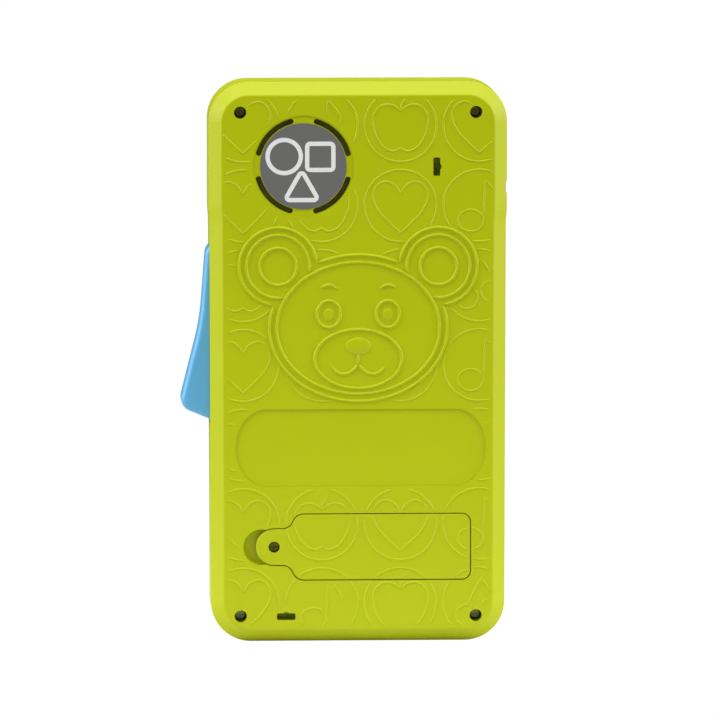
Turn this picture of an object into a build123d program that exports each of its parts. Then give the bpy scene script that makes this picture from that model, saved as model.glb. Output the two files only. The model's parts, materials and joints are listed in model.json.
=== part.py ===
from build123d import *

import math
import os

# Phone-shaped electronic toy tablet with a squeeze lever, shape badge and screwed battery door.
# The tablet stands on its bottom edge. X runs across it, Y through its thickness with the back at
# -Y and the keys at +Y, and Z up. The origin is the middle of the flat bottom edge. Millimetres.

# Case
HEIGHT = 200.0
FOOT_WIDTH = 104.8
SHOULDER_WIDTH = 105.5
HEAD_WIDTH = 106.2
SHOULDER_LOW = 149.0
SHOULDER_HIGH = 156.0
BACK_Y = -15.0
FRONT_Y = 15.0
PARTING_Y = 4.0
WALL = 2.2
CORNER_RADIUS = 14.2
BACK_CHAMFER = 4.6
BACK_EDGE_ROUNDING = 1.2
PARTING_CHAMFER = 0.25
FRONT_ROUNDING = 4.0
LIP_INSET = 1.2
LIP_HEIGHT = 1.4
LIP_CLEARANCE = 0.1
BACK_INSIDE = BACK_Y + WALL
FRONT_INSIDE = FRONT_Y - WALL

# Case screws, in the four corners
SCREW_X = 41.9
SCREW_ZS = (9.4, 189.3)
SCREW_WELL_RADIUS = 2.2
SCREW_SEAT_Y = -7.2
SCREW_TIP_Y = 9.5
SCREW_HEAD_RADIUS = 2.0
SCREW_HEAD_HEIGHT = 1.6
SCREW_SHANK_RADIUS = 1.3
SCREW_BOSS_RADIUS = 4.0
FRONT_BOSS_RADIUS = 3.4
BOSS_GAP = 0.1
THREAD_CLEARANCE = 0.02

# Speaker, its badge and sound slots
SPEAKER_X = -19.5
SPEAKER_Z = 170.2
BADGE_RADIUS = 15.3
POCKET_RADIUS = 18.0
POCKET_DEPTH = 0.4
SLOT_RADIUS = 16.5
SLOT_WIDTH = 1.95
SLOT_START_DEG = 15.5
SLOT_SPAN_DEG = 58.0
CUP_INNER_RADIUS = 18.8
CUP_OUTER_RADIUS = 20.3
CUP_TOP_Y = -8.5
EAR_REACH = 23.4
EAR_RADIUS = 3.0
CUP_POST_RADIUS = 2.8
CLAMP_SCREW_RADIUS = 1.0
CLAMP_HEAD_RADIUS = 1.9
CLAMP_HEAD_HEIGHT = 1.1

# Holes that once held the packing ties
TIE_LENGTH = 6.6
TIE_WIDTH = 2.5
TIE_BULGE_RADIUS = 1.45
TIE_BULGE_OFFSET = 0.25
TIE_FLOOR_Y = -8.5
TIE_WALL = 1.2
UPPER_TIE = (27.9, 169.9)
LOWER_TIE = (-25.7, 9.2)

# Recessed label panel
LABEL_CENTRE = (0.9, 69.7)
LABEL_WIDTH = 89.3
LABEL_HEIGHT = 27.7
LABEL_END = 10.8
LABEL_DEPTH = 0.5

# Battery door, its hinge edge and its screw tab
DOOR_LEFT = -19.4
DOOR_RIGHT = 39.9
DOOR_BOTTOM = 22.5
DOOR_TOP = 45.9
DOOR_CORNER = 3.0
DOOR_GAP = 0.35
DOOR_INNER_Y = -13.3
TAB_X = -30.0
TAB_RADIUS = 6.45
TAB_NECK_X = -27.0
TAB_BOSS_RADIUS = 4.4
TAB_BOSS_Y = -10.6
TAB_WELL_RADIUS = 4.9
TAB_WELL_Y = -9.2
TAB_SCREW_HOLE_RADIUS = 2.0
TAB_SCREW_SEAT_Y = -12.0
TAB_SCREW_TIP_Y = -6.6
TAB_SCREW_RADIUS = 1.15
TAB_SCREW_HEAD_RADIUS = 1.85
TAB_SCREW_HEAD_HEIGHT = 1.4
CLIP_RADIUS = 2.2
CLIP_Y = (-10.45, -9.95)
DOOR_MIDDLE = (DOOR_BOTTOM + DOOR_TOP) / 2
TONGUE_BACK_Y = -12.65
TONGUE_OFFSET = 7.0
TONGUE_WIDTH = 5.0
TONGUE_THICKNESS = 1.0
TONGUE_LEFT = 38.0
TONGUE_RIGHT = 41.9
SCOOP_X = -34.6
SCOOP_RADIUS = 6.4
SCOOP_DEPTH = 3.0
SCOOP_ROUNDING = 1.8
SCOOP_WALL = 1.2

# Battery bay for two AAA cells
BAY_LEFT = -15.8
BAY_RIGHT = 36.2
BAY_HALF = 10.8
BAY_FLOOR_Y = -2.0
BAY_WALL = 1.4
LEDGE_TOP_Y = -13.15
LEDGE_INNER_Y = -11.6
CELL_RADIUS = 5.25
CELL_LENGTH = 44.5
CELL_PITCH = 10.6
CELL_Y = -7.35
PLATE_THICKNESS = 0.3
BATTERY_WIRE_Y = -4.0

# Front panel, screen and keys
PANEL_WIDTH = 86.0
PANEL_HEIGHT = 168.0
PANEL_CORNER = 10.0
PANEL_MIDDLE = 100.0
PANEL_BACK_Y = 11.4
PANEL_FRONT_Y = 13.4
LEDGE_WIDTH = 3.0
TRAY_BACK_Y = 9.6
FIT = 0.2
SCREEN_WIDTH = 62.0
SCREEN_HEIGHT = 52.0
SCREEN_Z = 150.0
LENS_BORDER = 2.0
KEY_WIDTH = 20.0
KEY_HEIGHT = 17.0
KEY_CORNER = 4.0
KEY_XS = (25.0, 0.0, -25.0)
KEY_ZS = (106.0, 84.0, 62.0)
KEY_TOP_Y = 14.9
KEY_FLANGE = 1.2
KEY_CLEARANCE = 0.3
STEM_RADIUS = 2.5
STEM_TIP_Y = 8.3
HOME_RADIUS = 8.0
HOME_Z = 35.0

# Main board
BOARD_BACK_Y = 3.6
BOARD_FRONT_Y = 5.2
BOARD_HALF_WIDTH = 40.0
BOARD_LOW = 21.0
BOARD_HIGH = 179.0
BOARD_CORNER = 3.0
BOARD_NOTCH_X = -37.0
BOARD_NOTCH_Z = (68.0, 147.0)
BOARD_SCREW_RADIUS = 0.9
BOARD_SCREW_HEAD_RADIUS = 2.0
BOARD_SCREW_HEAD_HEIGHT = 1.2
CHIP_Z = (84.0, 98.0)
POST_X = 36.8
POST_ZS = (28.0, 172.0)
POST_RADIUS = 2.5

# Squeeze lever: its outline runs from the crest past the waist and the flare to the tip
LEVER_TOP = (-52.6, 141.3)
LEVER_CREST = (-54.2, 138.0)
LEVER_WAIST = (-55.5, 121.0)
LEVER_FLARE = (-57.7, 107.5)
LEVER_FLANK_LENGTH = 20.5
LEVER_TIP = (-60.5, 82.6)
LEVER_FOOT_Z = 77.6
LEVER_EDGE_ROUNDING = 1.8
LEVER_PAD_RADIUS = 4.0
LEVER_HALF_DEPTH = 8.0
LEVER_SKIN = 2.0
LEVER_INNER_X = -48.5
LEVER_PIVOT_X = -46.5
LEVER_PIVOT_Z = 137.0
HUB_RADIUS = 3.2
PIN_RADIUS = 1.5
PIN_HALF_LENGTH = 11.5
LEVER_SLOT_LOW = 77.5
LEVER_SLOT_HIGH = 142.0
LEVER_SLOT_GAP = 0.4
SPRING_Y = -1.0
SPRING_Z = 101.0
SPRING_SEAT_X = -40.4
SPRING_OUTER_X = -49.8
SPRING_PAD_X = -56.4
SPRING_RADIUS = 3.2
SPRING_WIRE = 0.35
SPRING_TURNS = 6
SWITCH_Z = 87.0
FINGER_HALF_HEIGHT = 1.5
FINGER_Y = (-1.0, 2.0)

# Power switch in the right side
POWER_Z = 162.05
POWER_RECESS_LOW_Y = -10.9
POWER_RECESS_HIGH_Y = -1.7
POWER_RECESS_HEIGHT = 4.3
POWER_RECESS_DEPTH = 1.2
POWER_TRAVEL = 3.0
POWER_KNOB_Y = -8.0
POWER_KNOB_SINK = 0.4

# Lead wires
WIRE_RADIUS = 0.55
WIRE_BEND = 1.5
POWER_WIRE_BEND = 1.2


def slab(sketch, low_y, high_y):
    """A sketch drawn in (x, z), as a solid from low_y to high_y."""
    return extrude(Plane.XZ.offset(-high_y) * sketch, amount=high_y - low_y)


def rod(x, z, radius, low_y, high_y):
    """A round bar through the thickness."""
    return slab(Pos(x, z) * Circle(radius), low_y, high_y)


def rod_across(y, z, radius, low_x, high_x):
    """A round bar across the width."""
    return Pos((low_x + high_x) / 2, y, z) * Rot(0, 90, 0) * Cylinder(radius, high_x - low_x)


def block(x_range, y_range, z_range):
    """A box between two limits on each axis."""
    size = [high - low for low, high in (x_range, y_range, z_range)]
    middle = [(low + high) / 2 for low, high in (x_range, y_range, z_range)]
    return Pos(*middle) * Box(*size)


def rounded(width, height, radius, x=0.0, z=0.0):
    """A rectangle with round corners, in (x, z)."""
    return Pos(x, z) * RectangleRounded(width, height, radius)


def turned(profile, x, z):
    """A (radius, y) profile turned about a line through the thickness at (x, z)."""
    return Pos(x, 0, z) * revolve(Polygon(*profile, align=None), Axis.Y)


def back_rim(solid):
    """Edges round a solid's rearmost face."""
    return solid.faces().sort_by(Axis.Y)[0].outer_wire().edges()


def front_rim(solid):
    """Edges round a solid's foremost face."""
    return solid.faces().sort_by(Axis.Y)[-1].outer_wire().edges()


def save(name, *solids):
    """Write one sub-part; several solids become one group."""
    shape = solids[0] if len(solids) == 1 else Compound(children=list(solids))
    export_step(shape, f"parts/{name}.step")


def case_outline():
    """Case outline in (x, z): sides that widen slightly upwards, a wider head and round corners."""
    shoulder = SHOULDER_WIDTH / 2
    head = HEAD_WIDTH / 2
    middle = ((shoulder + head) / 2, (SHOULDER_LOW + SHOULDER_HIGH) / 2)
    foot = JernArc((FOOT_WIDTH / 2 - CORNER_RADIUS, 0), (1, 0), CORNER_RADIUS, 90)
    side = Line(foot @ 1, (shoulder, SHOULDER_LOW))
    lower_bend = TangentArc(side @ 1, middle, tangent=side % 1)
    upper_bend = TangentArc(middle, (head, SHOULDER_HIGH), tangent=lower_bend % 1)
    crown = JernArc((head, HEIGHT - CORNER_RADIUS), (0, 1), CORNER_RADIUS, 90)
    half = Curve() + [
        Line((0, 0), foot @ 0),
        foot,
        side,
        lower_bend,
        upper_bend,
        Line(upper_bend @ 1, crown @ 0),
        crown,
        Line(crown @ 1, (0, HEIGHT)),
    ]
    return make_face(half + mirror(half, Plane.YZ))


def door_outline():
    """Battery door: a rectangle that necks down in S-curves to a round screw tab on its left."""
    neck_z = DOOR_MIDDLE + TAB_RADIUS
    middle = ((DOOR_LEFT + TAB_NECK_X) / 2, (DOOR_TOP + neck_z) / 2)
    outer = TangentArc((DOOR_LEFT, DOOR_TOP), middle, tangent=(-1, 0))
    inner = TangentArc(middle, (TAB_NECK_X, neck_z), tangent=outer % 1)
    tab_end = (TAB_X - TAB_RADIUS, DOOR_MIDDLE)
    tab = ThreePointArc((TAB_X, neck_z), tab_end, (TAB_X, DOOR_MIDDLE - TAB_RADIUS))
    corner = JernArc((DOOR_RIGHT - DOOR_CORNER, DOOR_TOP), (1, 0), DOOR_CORNER, -90)
    upper = Curve() + [
        Line(inner @ 1, tab @ 0),
        inner,
        outer,
        Line(outer @ 0, corner @ 0),
        corner,
        Line(corner @ 1, (DOOR_RIGHT, DOOR_MIDDLE)),
    ]
    middle_plane = Plane.XZ.offset(-DOOR_MIDDLE)
    return make_face(upper + mirror(upper, middle_plane) + tab)


OUTLINE = case_outline()
DOOR = door_outline()
SCREW_PLACES = [(x, z) for x in (-SCREW_X, SCREW_X) for z in SCREW_ZS]
POST_PLACES = [(x, z) for x in (-POST_X, POST_X) for z in POST_ZS]
KEY_PLACES = [(x, z) for z in KEY_ZS for x in KEY_XS]
CELL_ZS = (DOOR_MIDDLE - CELL_PITCH / 2, DOOR_MIDDLE + CELL_PITCH / 2)
TONGUE_ZS = (DOOR_MIDDLE - TONGUE_OFFSET, DOOR_MIDDLE + TONGUE_OFFSET)


def lever_slot():
    """Window in the left wall that the lever swings through."""
    half_depth = LEVER_HALF_DEPTH + LEVER_SLOT_GAP
    return block((-60, -48.2), (-half_depth, half_depth), (LEVER_SLOT_LOW, LEVER_SLOT_HIGH))


def tie_slot_outline(place, upright):
    """Slot for a packing tie, with a small round bulge at its middle."""
    width, height = (TIE_WIDTH, TIE_LENGTH) if upright else (TIE_LENGTH, TIE_WIDTH)
    bulge = (TIE_BULGE_OFFSET, 0) if upright else (0, TIE_BULGE_OFFSET)
    return rounded(width, height, 0.6, *place) + Pos(*place) * Pos(*bulge) * Circle(TIE_BULGE_RADIUS)


def with_tie_pocket(shell, place, upright):
    """Add a blind pocket behind the back wall and sink the tie slot into it."""
    outline = tie_slot_outline(place, upright)
    shell += slab(offset(outline, TIE_WALL), BACK_INSIDE - 0.5, TIE_FLOOR_Y + TIE_WALL)
    return shell - slab(outline, BACK_Y - 1, TIE_FLOOR_Y)


def label_recess():
    """Shallow panel with semi-elliptic ends."""
    straight = LABEL_WIDTH - 2 * LABEL_END
    panel = Rectangle(straight, LABEL_HEIGHT)
    for side in (-1, 1):
        panel += Pos(side * straight / 2, 0) * Ellipse(LABEL_END, LABEL_HEIGHT / 2)
    return slab(Pos(*LABEL_CENTRE) * panel, BACK_Y - 1, BACK_Y + LABEL_DEPTH)


def back_skin():
    """The hollow back half with its chamfered rim and the lip that locates the front half."""
    outer = slab(OUTLINE, BACK_Y, PARTING_Y)
    outer = chamfer(back_rim(outer), BACK_CHAMFER)
    outer = fillet(back_rim(outer), BACK_EDGE_ROUNDING)
    outer = chamfer(front_rim(outer), PARTING_CHAMFER)
    inner = slab(offset(OUTLINE, -WALL), BACK_INSIDE, PARTING_Y + 1)
    inner = chamfer(back_rim(inner), BACK_CHAMFER - WALL * (2 - math.sqrt(2)))
    lip = slab(offset(OUTLINE, -LIP_INSET), PARTING_Y - 1, PARTING_Y + LIP_HEIGHT)
    lip -= slab(offset(OUTLINE, -WALL), PARTING_Y - 2, PARTING_Y + LIP_HEIGHT + 1)
    return outer - inner + lip


def battery_bay():
    """Ledge under the door, the walls round the cells and the boss for the door screw."""
    ledge = slab(offset(DOOR, DOOR_GAP + 1.8), LEDGE_TOP_Y, LEDGE_INNER_Y)
    x_range = (BAY_LEFT, BAY_RIGHT)
    z_range = (DOOR_MIDDLE - BAY_HALF, DOOR_MIDDLE + BAY_HALF)
    outside = [(low - BAY_WALL, high + BAY_WALL) for low, high in (x_range, z_range)]
    walls = block(outside[0], (LEDGE_INNER_Y, BAY_FLOOR_Y + BAY_WALL), outside[1])
    bay = ledge + walls + rod(TAB_X, DOOR_MIDDLE, TAB_WELL_RADIUS + 1.3, LEDGE_INNER_Y, -3.4)
    bay -= block(x_range, (LEDGE_TOP_Y - 1, BAY_FLOOR_Y), z_range)
    bay -= rod(TAB_X, DOOR_MIDDLE, TAB_WELL_RADIUS, LEDGE_TOP_Y - 1, TAB_WELL_Y)
    bay -= rod(TAB_X, DOOR_MIDDLE, TAB_SCREW_RADIUS + 0.5, TAB_WELL_Y - 1, -4.6)
    for z in CELL_ZS:
        bay -= rod_across(BATTERY_WIRE_Y, z, WIRE_RADIUS + 0.3, BAY_LEFT - BAY_WALL - 1, BAY_LEFT + 1)
    for z in TONGUE_ZS:
        half = TONGUE_WIDTH / 2 + 0.5
        bay -= block((34.8, 42.6), (LEDGE_TOP_Y - 1, -10.4), (z - half, z + half))
    return bay


def thumb_scoop():
    """Dish beside the door's tab, so that a fingertip can lift it."""
    dish = rod(SCOOP_X, DOOR_MIDDLE, SCOOP_RADIUS, BACK_Y - 1, BACK_Y + SCOOP_DEPTH)
    return fillet(front_rim(dish), SCOOP_ROUNDING)


def scoop_backing():
    """Extra thickness inside the back wall, behind the dish."""
    floor_y = BACK_Y + SCOOP_DEPTH + SCOOP_WALL
    return rod(SCOOP_X, DOOR_MIDDLE, SCOOP_RADIUS + SCOOP_WALL, BACK_INSIDE - 0.5, floor_y)


def sound_slots():
    """Four arc slots round the badge."""
    cut = Part()
    for quarter in range(4):
        arc = CenterArc((0, 0), SLOT_RADIUS, SLOT_START_DEG + 90 * quarter, SLOT_SPAN_DEG)
        cut += slab(Pos(SPEAKER_X, SPEAKER_Z) * SlotArc(arc, SLOT_WIDTH), BACK_Y - 1, BACK_INSIDE + 1)
    return cut


def speaker_cup():
    """Ring that holds the speaker, with a post on each side for its clamp ring."""
    cup = rod(SPEAKER_X, SPEAKER_Z, CUP_OUTER_RADIUS, BACK_INSIDE, CUP_TOP_Y)
    cup -= rod(SPEAKER_X, SPEAKER_Z, CUP_INNER_RADIUS, BACK_INSIDE, CUP_TOP_Y)
    for side in (-1, 1):
        x = SPEAKER_X + side * EAR_REACH
        post = rod(x, SPEAKER_Z, CUP_POST_RADIUS, BACK_INSIDE, CUP_TOP_Y)
        cup += post - rod(x, SPEAKER_Z, CLAMP_SCREW_RADIUS, BACK_INSIDE + 1, CUP_TOP_Y)
    return cup


def power_recess():
    """Recess and through slot for the power knob in the right side."""
    side_x = HEAD_WIDTH / 2
    half = POWER_RECESS_HEIGHT / 2
    recess_y = (POWER_RECESS_LOW_Y, POWER_RECESS_HIGH_Y)
    recess = block((side_x - POWER_RECESS_DEPTH, side_x + 1), recess_y, (POWER_Z - half, POWER_Z + half))
    slot_y = (POWER_KNOB_Y - 1.6, POWER_KNOB_Y + POWER_TRAVEL + 1.6)
    return recess + block((side_x - WALL - 1, side_x), slot_y, (POWER_Z - 1.5, POWER_Z + 1.5))


def power_switch_ribs():
    """Two ribs that hold the power switch's body."""
    ribs = Part()
    for z in (POWER_Z - 5.4, POWER_Z + 5.4):
        ribs += block((41, 48.5), (BACK_INSIDE - 0.5, -2), (z - 0.8, z + 0.8))
    return ribs


def lever_supports(low_y, high_y, hole_low_y, hole_high_y):
    """Boss for one end of the lever's pin."""
    boss = rod(LEVER_PIVOT_X, LEVER_PIVOT_Z, 3.3, low_y, high_y)
    return boss - rod(LEVER_PIVOT_X, LEVER_PIVOT_Z, PIN_RADIUS + THREAD_CLEARANCE, hole_low_y, hole_high_y)


def back_shell():
    shell = back_skin()
    shell -= lever_slot()
    for x, z in SCREW_PLACES:
        shell += rod(x, z, SCREW_BOSS_RADIUS, BACK_INSIDE - 1, PARTING_Y - BOSS_GAP)
    shell += speaker_cup()
    shell += power_switch_ribs()
    shell += lever_supports(BACK_INSIDE, -8.6, -PIN_HALF_LENGTH - 0.1, -8.6)
    spring_seat = ((SPRING_SEAT_X, SPRING_SEAT_X + 1.6), (BACK_INSIDE, 2.0), (SPRING_Z - 5, SPRING_Z + 5))
    shell += block(*spring_seat)
    shell += scoop_backing() - slab(offset(DOOR, DOOR_GAP), BACK_Y - 1, BACK_Y + SCOOP_DEPTH + SCOOP_WALL)
    shell -= slab(offset(DOOR, DOOR_GAP), BACK_Y - 1, BACK_INSIDE)
    shell += battery_bay()
    shell -= thumb_scoop()
    for x, z in SCREW_PLACES:
        shell -= rod(x, z, SCREW_WELL_RADIUS, BACK_Y - 1, SCREW_SEAT_Y)
        shell -= rod(x, z, SCREW_SHANK_RADIUS + 0.15, SCREW_SEAT_Y, PARTING_Y)
    shell -= rod(SPEAKER_X, SPEAKER_Z, POCKET_RADIUS, BACK_Y - 1, BACK_Y + POCKET_DEPTH)
    shell -= sound_slots()
    shell = with_tie_pocket(shell, UPPER_TIE, upright=True)
    shell = with_tie_pocket(shell, LOWER_TIE, upright=False)
    shell -= label_recess()
    shell -= power_recess()
    return shell


def panel_outline(inset):
    """Outline of the front panel's opening, drawn in by a distance."""
    size = (PANEL_WIDTH - 2 * inset, PANEL_HEIGHT - 2 * inset)
    return rounded(*size, PANEL_CORNER - inset, 0, PANEL_MIDDLE)


def front_shell():
    shell = slab(OUTLINE, PARTING_Y, FRONT_Y)
    shell = fillet(front_rim(shell), FRONT_ROUNDING)
    shell = chamfer(back_rim(shell), PARTING_CHAMFER)
    hollow = slab(offset(OUTLINE, -WALL), PARTING_Y - 1, FRONT_INSIDE)
    shell -= fillet(front_rim(hollow), FRONT_ROUNDING - WALL)
    lip_groove = offset(OUTLINE, LIP_CLEARANCE - LIP_INSET)
    shell -= slab(lip_groove, PARTING_Y - 1, PARTING_Y + LIP_HEIGHT + LIP_CLEARANCE)
    tray = rounded(PANEL_WIDTH + 3.6, PANEL_HEIGHT + 3.6, PANEL_CORNER + 1.8, 0, PANEL_MIDDLE)
    shell += slab(tray, TRAY_BACK_Y, FRONT_INSIDE + 0.5)
    for x, z in SCREW_PLACES:
        shell += rod(x, z, FRONT_BOSS_RADIUS, PARTING_Y + BOSS_GAP, FRONT_INSIDE + 0.5)
    shell += lever_supports(8.6, FRONT_INSIDE + 0.5, 8.6, PIN_HALF_LENGTH + 0.1)
    shell -= slab(panel_outline(0), PANEL_BACK_Y, FRONT_Y + 1)
    shell -= slab(panel_outline(LEDGE_WIDTH), TRAY_BACK_Y - 1, FRONT_Y)
    for x, z in SCREW_PLACES:
        shell -= rod(x, z, SCREW_SHANK_RADIUS + THREAD_CLEARANCE, PARTING_Y, SCREW_TIP_Y + 1)
    return shell - lever_slot()


def face_plate():
    """Front panel with the screen window, the key holes and four posts for the board."""
    plate = slab(panel_outline(FIT), PANEL_BACK_Y, PANEL_FRONT_Y)
    plate = fillet(front_rim(plate), 0.5)
    plate -= slab(rounded(SCREEN_WIDTH, SCREEN_HEIGHT, 4, 0, SCREEN_Z), PANEL_BACK_Y, PANEL_FRONT_Y)
    lens = rounded(SCREEN_WIDTH + 2 * LENS_BORDER, SCREEN_HEIGHT + 2 * LENS_BORDER, 6, 0, SCREEN_Z)
    plate -= slab(lens, PANEL_FRONT_Y - 1, PANEL_FRONT_Y)
    hole_width = KEY_WIDTH + 2 * KEY_CLEARANCE
    hole_height = KEY_HEIGHT + 2 * KEY_CLEARANCE
    for x, z in KEY_PLACES:
        hole = rounded(hole_width, hole_height, KEY_CORNER + KEY_CLEARANCE, x, z)
        plate -= slab(hole, PANEL_BACK_Y, PANEL_FRONT_Y)
    plate -= rod(0, HOME_Z, HOME_RADIUS + KEY_CLEARANCE, PANEL_BACK_Y, PANEL_FRONT_Y)
    for x, z in POST_PLACES:
        plate += rod(x, z, POST_RADIUS, BOARD_FRONT_Y, PANEL_BACK_Y)
        plate -= rod(x, z, BOARD_SCREW_RADIUS + THREAD_CLEARANCE, BOARD_FRONT_Y, SCREW_TIP_Y + 0.5)
    return plate


def screen_pane(border, low_y, high_y):
    """A flat rectangular pane behind or in the screen window."""
    pane = rounded(SCREEN_WIDTH + 2 * border, SCREEN_HEIGHT + 2 * border, 4 + border, 0, SCREEN_Z)
    return slab(pane, low_y, high_y)


def key_cap(cap_outline, flange_outline, x, z):
    """A domed key with a flange that keeps it behind the panel and a stem that presses its dome."""
    flange_top_y = PANEL_BACK_Y - FIT
    cap = slab(cap_outline, flange_top_y, KEY_TOP_Y)
    cap = fillet(front_rim(cap), 1.0)
    flange = slab(flange_outline, flange_top_y - 1, flange_top_y)
    return cap + flange + rod(x, z, STEM_RADIUS, STEM_TIP_Y, flange_top_y - 1)


def app_key(x, z):
    cap = rounded(KEY_WIDTH, KEY_HEIGHT, KEY_CORNER, x, z)
    grown = 2 * KEY_FLANGE
    flange = rounded(KEY_WIDTH + grown, KEY_HEIGHT + grown, KEY_CORNER + KEY_FLANGE, x, z)
    return key_cap(cap, flange, x, z)


def home_key():
    cap = Pos(0, HOME_Z) * Circle(HOME_RADIUS)
    return key_cap(cap, Pos(0, HOME_Z) * Circle(HOME_RADIUS + KEY_FLANGE), 0, HOME_Z)


def key_membrane():
    """Rubber sheet on the board with one dome under each key."""
    keypad = rounded(73, 66, 3, 0, 84)
    home_pad = rounded(24, 30, 3, 0, 39)
    sheet = slab(keypad + home_pad, BOARD_FRONT_Y, BOARD_FRONT_Y + 0.8)
    for x, z in KEY_PLACES + [(0, HOME_Z)]:
        sheet += rod(x, z, 3.5, BOARD_FRONT_Y, BOARD_FRONT_Y + 1.7)
    return sheet


def main_board():
    """Circuit board, notched on the left where the lever swings in."""
    middle = (BOARD_LOW + BOARD_HIGH) / 2
    outline = rounded(2 * BOARD_HALF_WIDTH, BOARD_HIGH - BOARD_LOW, BOARD_CORNER, 0, middle)
    board = slab(outline, BOARD_BACK_Y, BOARD_FRONT_Y)
    notch_x = (-BOARD_HALF_WIDTH - 1, BOARD_NOTCH_X)
    board -= block(notch_x, (BOARD_BACK_Y, BOARD_FRONT_Y), BOARD_NOTCH_Z)
    for x, z in POST_PLACES:
        board -= rod(x, z, 1.2, BOARD_BACK_Y, BOARD_FRONT_Y)
    return board


def board_parts():
    """Two round capacitors and a row of small surface-mount parts on the back of the board."""
    parts = [rod(x, 122, 2.6, -2.4, BOARD_BACK_Y) for x in (22, 29)]
    for row in range(4):
        for column in range(3):
            x = -12 + 4 * column
            z = 104 + 4 * row
            parts.append(block((x, x + 2), (BOARD_BACK_Y - 0.7, BOARD_BACK_Y), (z, z + 1.2)))
    return parts


def pan_head_screw(x, z, seat_y, tip_y, head_radius, shank_radius, head_height):
    """A cross-head screw that enters towards +Y."""
    screw = rod(x, z, head_radius, seat_y - head_height, seat_y)
    screw = fillet(back_rim(screw), head_height * 0.4)
    arm = head_radius * 1.2
    cross = Pos(x, z) * (Rectangle(arm, head_radius * 0.28) + Rectangle(head_radius * 0.28, arm))
    screw -= slab(cross, seat_y - head_height - 0.1, seat_y - head_height * 0.4)
    return screw + rod(x, z, shank_radius, seat_y, tip_y)


def speaker_frame():
    """Pressed steel basket: a flat rim, a cone and a back plate."""
    rim = [(15.6, -12.5), (18.5, -12.5), (18.5, -11.3), (16.0, -11.3)]
    back = [(9.4, -6.6), (4.0, -6.6), (4.0, -7.4), (9.0, -7.4), (15.6, -12.0)]
    return turned(rim + back, SPEAKER_X, SPEAKER_Z)


def speaker_cone():
    """Paper cone with a dust cap."""
    cone = [(15.4, -12.2), (15.4, -11.9), (4.0, -8.2), (3.2, -8.2), (3.2, -8.6), (4.0, -8.6)]
    cap = [(0, -9.9), (2.4, -9.5), (4.2, -8.6), (3.2, -8.6), (2.2, -9.1), (0, -9.4)]
    return turned(cone, SPEAKER_X, SPEAKER_Z) + turned(cap, SPEAKER_X, SPEAKER_Z)


def speaker_magnet():
    """Ring magnet behind the basket with the centre pole in it."""
    magnet = rod(SPEAKER_X, SPEAKER_Z, 8.8, -6.6, -3.4)
    return fillet(front_rim(magnet), 0.5) + rod(SPEAKER_X, SPEAKER_Z, 2.8, -7.9, -6.6)


def speaker_clamp():
    """Ring that presses the speaker into its cup, with a screw ear on each side."""
    flange = Circle(CUP_OUTER_RADIUS)
    for side in (-1, 1):
        flange += Pos(side * EAR_REACH, 0) * Circle(EAR_RADIUS)
        flange += Pos(side * EAR_REACH * 0.9, 0) * Rectangle(6, 6)
    flange -= Circle(16.6)
    for side in (-1, 1):
        flange -= Pos(side * EAR_REACH, 0) * Circle(1.15)
    clamp = slab(Pos(SPEAKER_X, SPEAKER_Z) * flange, CUP_TOP_Y, CUP_TOP_Y + 1)
    spacer = Pos(SPEAKER_X, SPEAKER_Z) * (Circle(18.4) - Circle(16.6))
    return clamp + slab(spacer, -11.3, CUP_TOP_Y)


def clamp_screw(x):
    """Clamp-ring screw: its head faces the keys and its shank enters the post towards the back."""
    head_y = CUP_TOP_Y + 1
    head = fillet(front_rim(rod(x, SPEAKER_Z, CLAMP_HEAD_RADIUS, head_y, head_y + CLAMP_HEAD_HEIGHT)), 0.4)
    cross = Pos(x, SPEAKER_Z) * (Rectangle(2.2, 0.5) + Rectangle(0.5, 2.2))
    head -= slab(cross, head_y + 0.6, head_y + 1.2)
    return head + rod(x, SPEAKER_Z, CLAMP_SCREW_RADIUS - THREAD_CLEARANCE, BACK_INSIDE + 1.5, head_y)


def lever_profile():
    """Side view of the lever in (x, z): a wing that flares towards its rounded lower tip."""
    crest = Vector(*LEVER_CREST)
    waist = Vector(*LEVER_WAIST)
    top = TangentArc(crest, LEVER_TOP, tangent=crest - waist)
    bend = TangentArc(waist, LEVER_FLARE, tangent=waist - crest)
    flank = Line(bend @ 1, bend @ 1 + (bend % 1) * LEVER_FLANK_LENGTH)
    nose = TangentArc(flank @ 1, LEVER_TIP, tangent=flank % 1)
    inner_low = (LEVER_INNER_X, LEVER_FOOT_Z)
    inner_high = (LEVER_INNER_X, LEVER_TOP[1])
    inner_edge = Polyline(nose @ 1, inner_low, inner_high, top @ 1)
    return make_face(Curve() + [top, Line(crest, waist), bend, flank, nose, inner_edge])


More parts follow.
